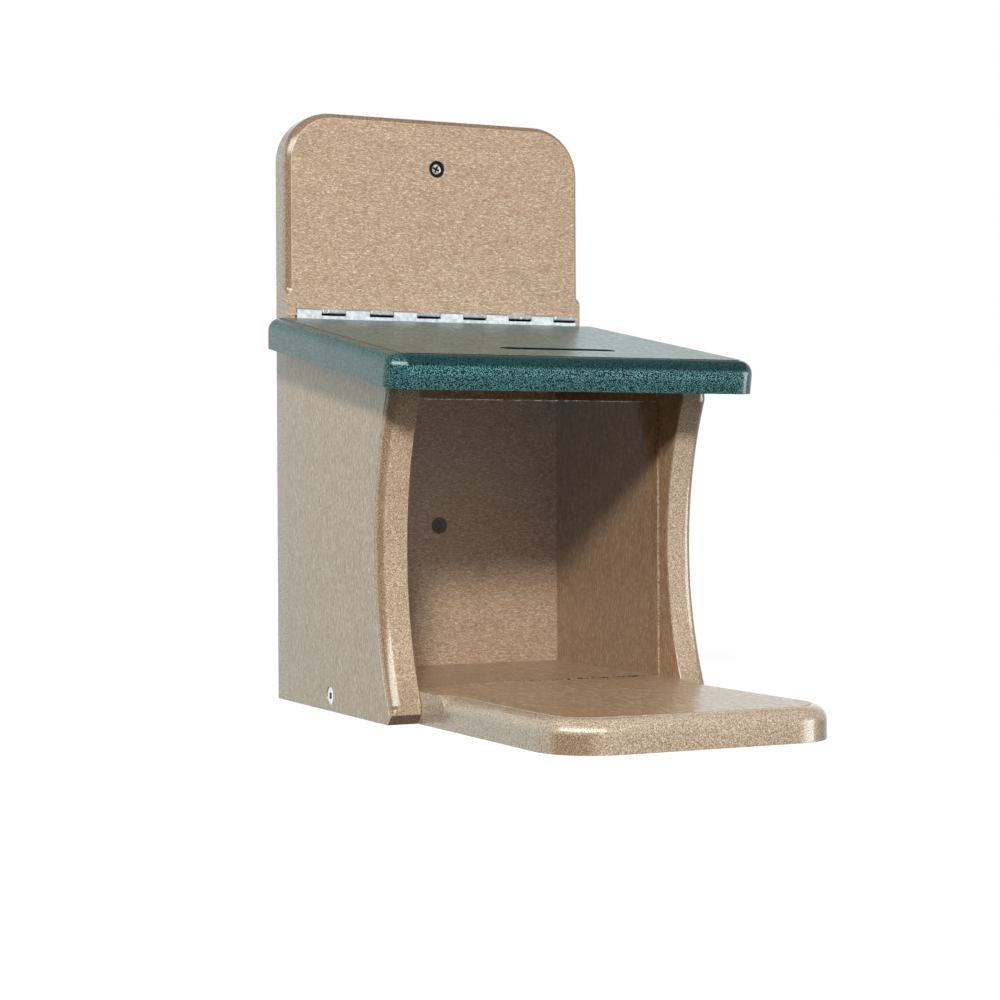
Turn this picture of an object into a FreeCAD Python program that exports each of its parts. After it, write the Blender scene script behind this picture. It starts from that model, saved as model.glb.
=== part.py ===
import FreeCAD, Part
import math
import os

# Squirrel feeder box of recycled plastic boards, in millimetres.
# X runs across the box, the front faces -Y, +Z is up and the box stands on Z = 0.
# The origin is the middle of the whole box's footprint, with the mounting screw's end counted in.

# Boards
board_stock = 14.3
body_width = 161.0
back_height = 288.2
back_corner_radius = 24.8
side_depth = 129.2
side_rear_height = 171.4
platform_reach = 265.0
platform_corner_radius = 25.4

# Scooped front edge of the side panels
scoop_depth = 14.6
foot_bevel = 4.5
foot_lip = 4.3
top_lip = 6.6
arris = 0.4

# Roof
roof_stock = 15.0
roof_slope_deg = 9.5
roof_side_overhang = 10.75
roof_front_overhang = 25.9
roof_corner_radius = 9.5
lid_gap = 0.2
slot_length = 58.0
slot_width = 8.0
slot_offset = 5.5
slot_setback = 36.0

# Router bits: the radius that each leaves, how deep it is plunged from the face, and its pilot
edge_bit_radius = 6.35
edge_plunge = 6.6
moulding_plunge = 5.46
moulding_end_height = 201.8
side_bit_radius = 4.76
side_plunge = 5.0
side_rout_end = 7.0
pilot_radius = 1.3
left_rout_gap = 24.8
right_rout_gap = 14.0

# Clear pane and its grooves
pane_thickness = 2.4
pane_setback = 105.9
pane_foot_gap = 0.1
pane_head_gap = 9.68
groove_depth = 4.0
groove_side_clearance = 0.3
groove_end_clearance = 0.4

# Piano hinge
knuckle_pitch = 12.7
knuckle_count = 12
knuckle_gap = 0.3
leaf_thickness = 0.8
leaf_drop = 13.5
pin_radius = 0.8
pin_clearance = 0.05
pin_rise = 3.5
knuckle_clearance = 0.3
notch_clearance = 0.3

# Deck screws through the boards
screw_head_radius = 4.15
head_rim = 0.3
screw_neck_radius = 1.7
screw_thread_radius = 2.1
screw_tip = 4.2
screw_length = 38.0
mounting_screw_length = 32.0
countersink_half_angle_deg = 41.0
head_clearance = 0.1
thread_clearance = 0.1
head_recess = 0.8
flush_recess = 0.3
square_recess_width = 2.8
square_recess_depth = 2.3

# Cross recess of the mounting screw and the hinge screws
cross_recess_radius = 2.3
cross_recess_width = 0.95
cross_recess_depth = 2.2

# Small screws of the hinge
hinge_screw_head_radius = 2.7
hinge_screw_neck_radius = 1.1
hinge_screw_thread_radius = 1.4
hinge_screw_tip = 2.6
hinge_neck_length = 0.5
hinge_screw_length = 12.5
hinge_head_stand = 0.4
hinge_screw_spacing = 57.0
hinge_screw_drop = 8.4
hinge_cross_scale = 0.65

# Places of the screws and mounting holes
upper_hole_drop = 25.0
lower_hole_height = 84.35
floor_screw_setback = 55.5
rear_screw_margin = 28.0
rear_screw_count = 3
floor_rear_screw_spacing = 80.0
mounting_hole_radius = 2.2

# Worked-out places
slope = math.radians(roof_slope_deg)
half_body = body_width / 2
half_inside = half_body - board_stock
knuckle_radius = leaf_thickness + pin_clearance + pin_radius
hinge_stack = 2 * knuckle_radius + knuckle_clearance
screw_end = head_recess + mounting_screw_length - board_stock
face_y = (platform_reach - board_stock - screw_end) / 2
rear_y = face_y + board_stock
roof_rear_y = face_y - hinge_stack
roof_half_width = half_body + roof_side_overhang
roof_rear_base = side_rear_height - hinge_stack * math.tan(slope) + lid_gap / math.cos(slope)
roof_length = (side_depth + roof_front_overhang - hinge_stack) / math.cos(slope)
pin_y = roof_rear_y + knuckle_radius
pin_z = roof_rear_base + roof_stock / math.cos(slope) + pin_rise
hinge_length = knuckle_pitch * knuckle_count
pane_y = face_y - pane_setback
pane_front = pane_setback + pane_thickness / 2

ACROSS = FreeCAD.Vector(1, 0, 0)
BACK = FreeCAD.Vector(0, 1, 0)
UP = FreeCAD.Vector(0, 0, 1)
WASTE = 1.0


def vec(x, y, z):
    return FreeCAD.Vector(x, y, z)


def box(x0, x1, y0, y1, z0, z1):
    """Plain block between two corners."""
    return Part.makeBox(x1 - x0, y1 - y0, z1 - z0, vec(x0, y0, z0))


def plate(edges, travel):
    """Solid made by pushing a closed outline of edges along a vector."""
    return Part.Face(Part.Wire(Part.__sortEdges__(edges))).extrude(travel)


def line(a, b):
    return Part.LineSegment(a, b).toShape()


def arc(a, middle, b):
    return Part.Arc(a, middle, b).toShape()


def rout_face(point, inward, outward, radius, plunge):
    """Section of the waste that a round-over bit takes off an edge.

    point is on the edge, inward runs along the face away from the edge and outward leaves the face.
    A bit plunged deeper than its radius leaves a small step, and a shallower one a crease.
    """
    def at(inset, rise):
        return point + inward * inset + outward * rise

    step = max(plunge - radius, 0.0)
    reach = radius - math.sqrt(max(radius ** 2 - min(plunge, radius) ** 2, 0.0))
    half_turn = math.asin(min(plunge, radius) / radius) / 2
    middle = at(radius - radius * math.cos(half_turn), radius * math.sin(half_turn) - plunge)
    corners = [at(reach, WASTE), at(-pilot_radius, WASTE), at(-pilot_radius, -plunge), at(0, -plunge)]
    edges = [
        line(corners[0], corners[1]),
        line(corners[1], corners[2]),
        line(corners[2], corners[3]),
        arc(corners[3], middle, at(reach, -step)),
        line(at(reach, -step), corners[0]),
    ]
    return Part.Face(Part.Wire(edges))


def rout_end(point, inward, outward, radius, plunge):
    """Round end of the cut, where the bit's pilot stops beside the edge."""
    face = rout_face(point, inward, outward, radius, plunge)
    return face.revolve(point - inward * pilot_radius, outward, 360)


def rout_u(half_width, starts, end, corner_radius, radius, plunge, open_start):
    """Waste of a cut up one side, round the far end and down the other side of a flat board.

    The board lies face up at Z = 0, with its sides at X = half_width and its far end at Y = end.
    starts are the two places in Y where the cut begins, on the -X side and on the +X side.
    """
    tools = []
    for sign, start in zip((-1, 1), starts):
        inward = vec(-sign, 0, 0)
        side_point = vec(sign * half_width, start, 0)
        face = rout_face(side_point, inward, UP, radius, plunge)
        tools.append(face.extrude(vec(0, end - corner_radius - start, 0)))
        if not open_start:
            tools.append(rout_end(side_point, inward, UP, radius, plunge))
        turn_point = vec(sign * half_width, end - corner_radius, 0)
        centre = vec(sign * (half_width - corner_radius), end - corner_radius, 0)
        face = rout_face(turn_point, inward, UP, radius, plunge)
        tools.append(face.revolve(centre, UP, sign * 90))
    straight = half_width - corner_radius
    face = rout_face(vec(-straight, end, 0), vec(0, -1, 0), UP, radius, plunge)
    tools.append(face.extrude(vec(2 * straight, 0, 0)))
    return tools


def round_ended_board(half_width, start, end, corner_radius, thickness):
    """Flat board, face up at Z = 0, with both far corners rounded."""
    r = corner_radius
    bend = r * (1 - math.sqrt(0.5))
    left, right = -half_width, half_width
    edges = [
        line(vec(left, start, 0), vec(left, end - r, 0)),
        arc(vec(left, end - r, 0), vec(left + bend, end - bend, 0), vec(left + r, end, 0)),
        line(vec(left + r, end, 0), vec(right - r, end, 0)),
        arc(vec(right - r, end, 0), vec(right - bend, end - bend, 0), vec(right, end - r, 0)),
        line(vec(right, end - r, 0), vec(right, start, 0)),
        line(vec(right, start, 0), vec(left, start, 0)),
    ]
    return plate(edges, vec(0, 0, -thickness))


def stand(shape, along, out, origin):
    """Place a shape whose Y runs along and whose Z points out, with X completing the frame."""
    across = along.cross(out)
    matrix = FreeCAD.Matrix(
        across.x, along.x, out.x, origin.x,
        across.y, along.y, out.y, origin.y,
        across.z, along.z, out.z, origin.z,
        0, 0, 0, 1)
    placed = shape.copy()
    placed.Placement = FreeCAD.Placement(matrix).multiply(placed.Placement)
    return placed


def aim(shape, point, out):
    """Move a screw or its hole so that its head, at the origin, faces out at a point."""
    placed = shape.copy()
    placed.Placement = FreeCAD.Placement(point, FreeCAD.Rotation(UP, out))
    return placed


def cone_depth(large, small):
    return (large - small) / math.tan(math.radians(countersink_half_angle_deg))


def square_recess():
    half = square_recess_width / 2
    return box(-half, half, -half, half, -square_recess_depth, WASTE)


def cross_recess(scale):
    """Tapered cross: two crossed slots kept inside a pointed cone."""
    reach = cross_recess_radius * scale
    half = cross_recess_width * scale / 2
    depth = cross_recess_depth * scale
    wings = box(-reach, reach, -half, half, -depth, WASTE)
    wings = wings.fuse(box(-half, half, -reach, reach, -depth, WASTE))
    taper = Part.makeCone(half, reach, depth, vec(0, 0, -depth))
    return wings.common(taper.fuse(Part.makeCylinder(reach, WASTE)))


def turned(points):
    """Solid of revolution about Z from (radius, height) points."""
    corners = [vec(r, 0, z) for r, z in points]
    wire = Part.makePolygon(corners + corners[:1])
    return Part.Face(wire).revolve(vec(0, 0, 0), UP, 360)


def flat_head_screw(head, neck, thread, tip, length, thread_start, recess):
    """Countersunk screw pointing down -Z, with its head's top at the origin."""
    taper = cone_depth(head, neck)
    shape = turned([
        (0, 0), (head, 0), (head, -head_rim), (neck, -head_rim - taper), (neck, -thread_start),
        (thread, -thread_start), (thread, tip - length), (0, -length)])
    return shape.cut(recess)


def screw_bore(head, thread, length, recess_depth, shaft):
    """Hole for such a screw, its mouth raised by the depth that the head is set in."""
    mouth = head + head_clearance
    taper = cone_depth(mouth, thread + thread_clearance)
    return turned([
        (0, recess_depth + WASTE), (mouth, recess_depth + WASTE), (mouth, -head_rim),
        (thread + thread_clearance, -head_rim - taper), (thread + thread_clearance, shaft - length),
        (0, -length - thread_clearance)])


def deck_screw(length, thread_start, recess):
    return flat_head_screw(screw_head_radius, screw_neck_radius, screw_thread_radius, screw_tip,
                           length, thread_start, recess)


def deck_bore(length, recess_depth):
    return screw_bore(screw_head_radius, screw_thread_radius, length, recess_depth, screw_tip)


def side_top(distance):
    """Height of a side panel's sloped top, a distance in front of the back board."""
    return side_rear_height - distance * math.tan(slope)


def rear_screw_places(sign):
    x = sign * (half_body - board_stock / 2)
    step = (side_rear_height - 2 * rear_screw_margin) / (rear_screw_count - 1)
    heights = [rear_screw_margin + index * step for index in range(rear_screw_count)]
    return [vec(x, rear_y - flush_recess, z) for z in heights]


def floor_rear_places():
    z = board_stock / 2
    half = floor_rear_screw_spacing / 2
    return [vec(-half, rear_y - flush_recess, z), vec(half, rear_y - flush_recess, z)]


def floor_screw_place(sign):
    return vec(sign * (half_body - flush_recess), face_y - floor_screw_setback, board_stock / 2)


def hinge_screw_xs():
    return (-hinge_screw_spacing, 0.0, hinge_screw_spacing)


def hinge_screw(y, out):
    """Row of the small hinge screws, with their heads facing out."""
    one = flat_head_screw(hinge_screw_head_radius, hinge_screw_neck_radius, hinge_screw_thread_radius,
                          hinge_screw_tip, hinge_screw_length, hinge_thread_start,
                          cross_recess(hinge_cross_scale))
    return [aim(one, vec(x, y, pin_z - hinge_screw_drop), out) for x in hinge_screw_xs()]


def hinge_bores(y, out):
    one = screw_bore(hinge_screw_head_radius, hinge_screw_thread_radius, hinge_screw_length,
                     hinge_head_stand, hinge_screw_tip)
    return [aim(one, vec(x, y, pin_z - hinge_screw_drop), out) for x in hinge_screw_xs()]


board_leaf_screw_y = face_y - leaf_thickness - hinge_head_stand
lid_leaf_screw_y = roof_rear_y + leaf_thickness + hinge_head_stand
hinge_thread_start = (head_rim + cone_depth(hinge_screw_head_radius, hinge_screw_neck_radius)
                      + hinge_neck_length)
upper_hole_height = back_height - upper_hole_drop
mounting_screw_point = vec(0, face_y + head_recess, upper_hole_height)


def back_board():
    """Tall board with rounded top corners and a routed moulding round its upper front edge."""
    board = round_ended_board(half_body, 0, back_height, back_corner_radius, board_stock)
    cuts = rout_u(half_body, (moulding_end_height, moulding_end_height), back_height,
                  back_corner_radius, edge_bit_radius, moulding_plunge, False)
    board = board.cut(cuts)
    board = stand(board, UP, BACK * -1, vec(0, face_y, 0))
    mouth = screw_head_radius + head_clearance
    taper = cone_depth(mouth, mounting_hole_radius)
    hole = turned([
        (0, WASTE), (mouth, WASTE), (mouth, -head_recess - head_rim),
        (mounting_hole_radius, -head_recess - head_rim - taper),
        (mounting_hole_radius, -board_stock - WASTE), (0, -board_stock - WASTE)])
    holes = [aim(hole, vec(0, face_y, z), BACK * -1) for z in (lower_hole_height, upper_hole_height)]
    rear_bore = deck_bore(screw_length, flush_recess)
    for point in rear_screw_places(-1) + rear_screw_places(1) + floor_rear_places():
        holes.append(aim(rear_bore, point, BACK))
    holes += hinge_bores(board_leaf_screw_y, BACK * -1)
    return board.cut(holes)


def side_panel(sign):
    """Side panel with a scooped front edge, an outer round-over and the pane's groove."""
    front_y = face_y - side_depth
    low_z = foot_bevel + foot_lip
    high_z = side_top(side_depth) - top_lip
    scoop_height = (low_z + high_z) / 2
    half_chord = (high_z - low_z) / 2
    scoop_radius = (half_chord ** 2 + scoop_depth ** 2) / (2 * scoop_depth)
    deepest = vec(half_inside, front_y + scoop_depth, scoop_height)
    foot_back = vec(half_inside, front_y + foot_bevel, 0)
    foot_front = vec(half_inside, front_y, foot_bevel)
    low = vec(half_inside, front_y, low_z)
    high = vec(half_inside, front_y, high_z)
    top_front = vec(half_inside, front_y, side_top(side_depth))
    top_back = vec(half_inside, face_y, side_rear_height)
    bottom_back = vec(half_inside, face_y, 0)
    edges = [
        line(bottom_back, foot_back),
        line(foot_back, foot_front),
        line(foot_front, low),
        arc(low, deepest, high),
        line(high, top_front),
        line(top_front, top_back),
        line(top_back, bottom_back),
    ]
    panel = plate(edges, vec(board_stock, 0, 0))

    def bit(z, y):
        return rout_face(vec(half_body, y, z), BACK, ACROSS, side_bit_radius, side_plunge)

    overlap = side_bit_radius
    centre = vec(half_body, front_y + scoop_depth - scoop_radius, scoop_height)
    turn = math.degrees(math.asin(half_chord / scoop_radius)) + 1
    scoop_face = bit(scoop_height, front_y + scoop_depth)
    cuts = [
        rout_end(vec(half_body, front_y, side_rout_end), BACK, ACROSS, side_bit_radius, side_plunge),
        bit(side_rout_end, front_y).extrude(UP * (low_z - side_rout_end + overlap)),
        bit(high_z - overlap, front_y).extrude(UP * (back_height - high_z)),
        scoop_face.revolve(centre, ACROSS, turn),
        scoop_face.revolve(centre, ACROSS, -turn),
    ]
    panel = panel.cut(cuts)
    half_groove = pane_thickness / 2 + groove_side_clearance
    groove = box(half_inside - WASTE, half_inside + groove_depth, pane_y - half_groove,
                 pane_y + half_groove, board_stock, side_rear_height)
    bores = [aim(deck_bore(screw_length, flush_recess), point, BACK) for point in rear_screw_places(1)]
    bores.append(aim(deck_bore(screw_length, flush_recess), floor_screw_place(1), ACROSS))
    panel = panel.cut([groove] + bores)
    inner_front = [
        edge for edge in panel.Edges
        if abs(edge.BoundBox.XMin - half_inside) < 1e-4 and abs(edge.BoundBox.XMax - half_inside) < 1e-4
        and edge.BoundBox.YMax < pane_y - half_groove - WASTE and edge.BoundBox.ZMin > foot_bevel - 1e-4
    ]
    panel = panel.makeChamfer(arris, inner_front)
    if sign < 0:
        panel = panel.mirror(vec(0, 0, 0), ACROSS)
    return panel


def floor_platform():
    """Floor between the sides, running forward as a platform with rounded front corners."""
    board = round_ended_board(half_inside, -WASTE, platform_reach, platform_corner_radius, board_stock)
    board = board.cut(box(-body_width, body_width, -2 * WASTE, 0, -2 * board_stock, WASTE))
    starts = (side_depth + right_rout_gap, side_depth + left_rout_gap)
    cuts = rout_u(half_inside, starts, platform_reach, platform_corner_radius,
                  edge_bit_radius, edge_plunge, False)
    board = board.cut(cuts)
    board = stand(board, BACK * -1, UP, vec(0, face_y, board_stock))
    bores = [aim(deck_bore(screw_length, flush_recess), point, BACK) for point in floor_rear_places()]
    for sign in (-1, 1):
        bores.append(aim(deck_bore(screw_length, flush_recess), floor_screw_place(sign), ACROSS * sign))
    return board.cut(bores)


def roof_lid():
    """Sloping roof board: upright rear edge, rounded front corners, round-over and slot."""
    rear_rise = roof_stock * math.tan(slope)
    board = round_ended_board(roof_half_width, -rear_rise, roof_length, roof_corner_radius, roof_stock)
    cuts = rout_u(roof_half_width, (-2 * rear_rise, -2 * rear_rise), roof_length, roof_corner_radius,
                  edge_bit_radius, edge_plunge, True)
    rear_waste = plate([
        line(vec(-body_width, 0, -roof_stock), vec(-body_width, -rear_rise, 0)),
        line(vec(-body_width, -rear_rise, 0), vec(-body_width, -3 * rear_rise, 0)),
        line(vec(-body_width, -3 * rear_rise, 0), vec(-body_width, -3 * rear_rise, -roof_stock)),
        line(vec(-body_width, -3 * rear_rise, -roof_stock), vec(-body_width, 0, -roof_stock)),
    ], vec(2 * body_width, 0, 0))
    radius = slot_width / 2
    half_slot = slot_length / 2 - radius
    slot_y = roof_length - slot_setback
    slot = box(-half_slot, half_slot, slot_y - radius, slot_y + radius, -roof_stock - WASTE, WASTE)
    for sign in (-1, 1):
        end = vec(sign * half_slot, slot_y, -roof_stock - WASTE)
        slot = slot.fuse(Part.makeCylinder(radius, roof_stock + 2 * WASTE, end))
    slot.translate(vec(-slot_offset, 0, 0))
    board = board.cut(cuts + [rear_waste, slot])
    down_slope = vec(0, -math.cos(slope), -math.sin(slope))
    out = vec(0, -math.sin(slope), math.cos(slope))
    rear_foot = vec(0, roof_rear_y, roof_rear_base)
    board = stand(board, down_slope, out, rear_foot + out * roof_stock)
    return board.cut(hinge_bores(lid_leaf_screw_y, BACK))


def hinge_leaf(own_first, plate_y, screw_y, out):
    """One leaf of the piano hinge: a strip with every other knuckle curled round the pin."""
    half = hinge_length / 2
    low = pin_z - leaf_drop
    notch = pin_z - knuckle_radius - notch_clearance
    leaf = box(-half, half, plate_y, plate_y + leaf_thickness, low, notch)
    for index in range(knuckle_count):
        if (index % 2 == 0) != own_first:
            continue
        x0 = index * knuckle_pitch - half + knuckle_gap / 2
        x1 = x0 + knuckle_pitch - knuckle_gap
        leaf = leaf.fuse(box(x0, x1, plate_y, plate_y + leaf_thickness, notch, pin_z))
        leaf = leaf.fuse(Part.makeCylinder(knuckle_radius, x1 - x0, vec(x0, pin_y, pin_z), ACROSS))
    bore = Part.makeCylinder(pin_radius + pin_clearance, hinge_length, vec(-half, pin_y, pin_z), ACROSS)
    return leaf.cut([bore] + hinge_bores(screw_y, out)).removeSplitter()


def hinge_pin():
    """Plain steel pin the whole length of the hinge."""
    half = hinge_length / 2 - knuckle_gap / 2
    return Part.makeCylinder(pin_radius, 2 * half, vec(-half, pin_y, pin_z), ACROSS)


def front_pane():
    """Clear sheet standing on the floor in the side panels' grooves."""
    half = half_inside + groove_depth - groove_end_clearance
    foot = board_stock + pane_foot_gap
    head = side_top(pane_front) - pane_head_gap
    return box(-half, half, pane_y - pane_thickness / 2, pane_y + pane_thickness / 2, foot, head)


def screw_group(points, out, length, recess):
    one = deck_screw(length, board_stock, recess)
    return [aim(one, point, out) for point in points]


def save(name, shapes):
    """Write one sub-part, as one solid or as a group of separate like solids."""
    shape = shapes[0] if len(shapes) == 1 else Part.makeCompound(shapes)
    shape.exportStep("parts/" + name + ".step")
    print(name, len(shape.Solids), round(shape.Volume / 1000, 2), shape.isValid())


os.makedirs("parts", exist_ok=True)

mounting_screw = deck_screw(mounting_screw_length, board_stock - head_recess, cross_recess(1.0))

save("back_board", [back_board()])
save("left_side_panel", [side_panel(-1)])
save("right_side_panel", [side_panel(1)])
save("floor_platform", [floor_platform()])
save("roof_lid", [roof_lid()])
save("front_pane", [front_pane()])
save("hinge_board_leaf", [hinge_leaf(False, face_y - leaf_thickness, board_leaf_screw_y, BACK * -1)])
save("hinge_lid_leaf", [hinge_leaf(True, roof_rear_y, lid_leaf_screw_y, BACK)])
save("hinge_pin", [hinge_pin()])
save("hinge_board_screws", hinge_screw(board_leaf_screw_y, BACK * -1))
save("hinge_lid_screws", hinge_screw(lid_leaf_screw_y, BACK))
save("upper_mounting_screw", [aim(mounting_screw, mounting_screw_point, BACK * -1)])
save("left_floor_screw", screw_group([floor_screw_place(-1)], ACROSS * -1, screw_length, square_recess()))
save("right_floor_screw", screw_group([floor_screw_place(1)], ACROSS, screw_length, square_recess()))
save("left_side_rear_screws", screw_group(rear_screw_places(-1), BACK, screw_length, square_recess()))
save("right_side_rear_screws", screw_group(rear_screw_places(1), BACK, screw_length, square_recess()))
save("floor_rear_screws", screw_group(floor_rear_places(), BACK, screw_length, square_recess()))
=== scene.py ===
import math
import bmesh
import bpy
from mathutils import Matrix, Vector


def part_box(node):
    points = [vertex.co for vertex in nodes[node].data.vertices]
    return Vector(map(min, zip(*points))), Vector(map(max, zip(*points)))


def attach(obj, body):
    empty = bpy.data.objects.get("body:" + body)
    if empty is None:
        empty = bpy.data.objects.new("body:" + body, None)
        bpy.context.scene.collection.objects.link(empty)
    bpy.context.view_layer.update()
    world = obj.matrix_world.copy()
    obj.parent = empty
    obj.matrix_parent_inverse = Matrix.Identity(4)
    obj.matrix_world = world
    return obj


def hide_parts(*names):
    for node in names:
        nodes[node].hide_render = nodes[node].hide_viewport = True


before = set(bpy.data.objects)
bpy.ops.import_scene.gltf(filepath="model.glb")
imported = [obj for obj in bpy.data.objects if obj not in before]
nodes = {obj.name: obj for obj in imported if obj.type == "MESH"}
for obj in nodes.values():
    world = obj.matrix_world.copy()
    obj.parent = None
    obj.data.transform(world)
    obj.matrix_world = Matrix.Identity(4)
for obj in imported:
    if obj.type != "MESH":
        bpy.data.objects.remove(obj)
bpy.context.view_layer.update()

# The floor board, which runs forward as the squirrel's platform. It is recycled plastic board sawn
# to shape, with a router's round-over on its top edge. The sheet's faces carry drawn-out flecks,
# and the sawn and routed edges show a browner, finely speckled core.

MM = 0.001

PLAIN = (1, 1, 1, 1)
TAN = (0.465, 0.335, 0.222, 1)
TAN_PALE = (0.720, 0.630, 0.515, 1)
TAN_BROWN = (0.355, 0.215, 0.128, 1)
CORE = (0.465, 0.342, 0.230, 1)
CORE_PALE = (0.700, 0.600, 0.480, 1)
CORE_BROWN = (0.260, 0.155, 0.085, 1)
ARRIS_HIGHLIGHT = (0.740, 0.620, 0.490, 1)
ASKEW_SHADE = (0.65, 0.55, 0.47, 1)
# Painted shade on the floor board's top face.
FLOOR_TOP_SHADE = (0.88, 0.80, 0.72, 1)
# A painted pale sheen on the floor board's sawn and routed edges.
FLOOR_EDGE_SHEEN = (1.05, 1.10, 1.17, 1)

# Widths and lengths of the flecks, and the noise levels between which each kind fades in.
DASH_SIZE = (0.25 * MM, 0.95 * MM)
DASH_FADE = (0.53, 0.64)
DASH_SHARE = 0.85
SMEAR_SIZE = (0.42 * MM, 1.10 * MM)
SMEAR_FADE = (0.48, 0.62)
CLOUD_SIZE = (5 * MM, 14 * MM)
DOT_SIZE = 0.26 * MM
PALE_DOT_FADE = (0.52, 0.68)
BROWN_DOT_FADE = (0.48, 0.32)

# How near a face plane the sheet's skin, its painted shade and a painted arris highlight reach.
SKIN_REACH = 0.04 * MM
FACE_SHADE_REACH = 0.3 * MM
ARRIS_HIGHLIGHT_REACH = 0.05 * MM
ARRIS_HIGHLIGHT_SHARE = 0.6

# A shade is a share of the noise and what is added to it. The askew fades are on a normal's parts.
DOT_SHADE = (0.6, 0.70)
CLOUD_SHADE = (0.20, 0.90)
ASKEW_FADE = (0.97, 0.84)
UPRIGHT_FADE = (0.20, 0.05)
TAN_IOR = 1.5
CORE_ROUGHNESS = 0.14
SKIN_ROUGHER = 0.12
DOTS_ROUGHER = 0.08
DOTS_RELIEF = 0.3


def add(tree, kind, sockets=None, **settings):
    """Add a shader node, set its own settings, and give its sockets a value or a link."""
    node = tree.nodes.new(kind)
    for name, value in settings.items():
        setattr(node, name, value)
    for name, value in (sockets or {}).items():
        if isinstance(value, bpy.types.NodeSocket):
            tree.links.new(value, node.inputs[name])
        else:
            node.inputs[name].default_value = value
    return node


def own_place(tree):
    """The piece's own coordinates."""
    return add(tree, "ShaderNodeTexCoord").outputs["Object"]


def new_finish(name):
    """Empty material with its tree, a Principled shader and the piece's own coordinates."""
    finish = bpy.data.materials.new(name)
    finish.use_nodes = True
    tree = finish.node_tree
    tree.nodes.clear()
    shader = add(tree, "ShaderNodeBsdfPrincipled")
    add(tree, "ShaderNodeOutputMaterial", {"Surface": shader.outputs["BSDF"]})
    return finish, tree, shader, own_place(tree)


def split(tree, vector):
    """The X, Y and Z of a vector."""
    return add(tree, "ShaderNodeSeparateXYZ", {"Vector": vector}).outputs


def maths(tree, operation, *values, clamp=False):
    """One Math node's result."""
    node = add(tree, "ShaderNodeMath", dict(enumerate(values)), operation=operation,
               use_clamp=clamp)
    return node.outputs[0]


def blend_colours(tree, amount, first, second, kind="MIX"):
    """One Mix node's colour. Its sockets 6 and 7 and its result 2 are those for colours."""
    node = add(tree, "ShaderNodeMix", {0: amount, 6: first, 7: second}, data_type="RGBA",
               blend_type=kind)
    return node.outputs[2]


def tinted(tree, colour, tint):
    """A colour times a tint."""
    return blend_colours(tree, 1.0, colour, tint, "MULTIPLY")


def tone(tree, value):
    """A grey of that value."""
    grey = add(tree, "ShaderNodeCombineColor", {"Red": value, "Green": value, "Blue": value})
    return grey.outputs["Color"]


def step_up(tree, value, low, high):
    """0 at low, 1 at high and smooth in between. It falls instead where high is the lower."""
    node = add(tree, "ShaderNodeMapRange", {"Value": value, "From Min": low, "From Max": high},
               interpolation_type="SMOOTHSTEP")
    return node.outputs["Result"]


def grains(tree, place, size, detail=2.0, wave=0.0, roughness=0.5):
    """Noise whose grains measure size along X, Y and Z. Two grains fill a cell of the noise."""
    scaled = add(tree, "ShaderNodeMapping", {"Vector": place, "Scale": [0.5 / s for s in size]})
    noise = add(tree, "ShaderNodeTexNoise", {"Vector": scaled.outputs["Vector"], "Scale": 1.0,
                "Detail": detail, "Roughness": roughness, "Distortion": wave})
    return noise.outputs["Fac"]


def drawn_out(size, grain, stretch=(1, 1, 1)):
    """A fleck's sizes along X, Y and Z, from its width and its length along the grain."""
    width, length = size
    return [(length if axis == grain else width) * more for axis, more in zip("XYZ", stretch)]


def near(tree, place, axis, at, reach):
    """1 where the coordinate along an axis is within reach of a place, else 0."""
    return maths(tree, "COMPARE", split(tree, place)[axis], at, reach)


def near_faces(tree, place, axis, faces, reach):
    """1 within reach of either of a board's two faces, else 0."""
    return maths(tree, "MAXIMUM", *[near(tree, place, axis, at, reach) for at in faces])


def curved(tree, upright_only):
    """1 where the surface looks askew, as on round-overs, mouldings and bevels, else 0."""
    facing = split(tree, add(tree, "ShaderNodeTexCoord").outputs["Normal"])
    most = maths(tree, "ABSOLUTE", facing["X"])
    for axis in ("Y", "Z"):
        most = maths(tree, "MAXIMUM", most, maths(tree, "ABSOLUTE", facing[axis]))
    askew = step_up(tree, most, *ASKEW_FADE)
    if upright_only:
        askew = maths(tree, "MULTIPLY", askew, step_up(tree, facing["Z"], *UPRIGHT_FADE))
    return askew


def bump(tree, shader, height, strength, depth, edge):
    """Relief of a surface, with its arrises eased by edge metres."""
    eased = add(tree, "ShaderNodeBevel", {"Radius": edge}, samples=4)
    relief = add(tree, "ShaderNodeBump", {"Height": height, "Strength": strength,
                 "Distance": depth, "Normal": eased.outputs["Normal"]})
    tree.links.new(relief.outputs["Normal"], shader.inputs["Normal"])


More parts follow.
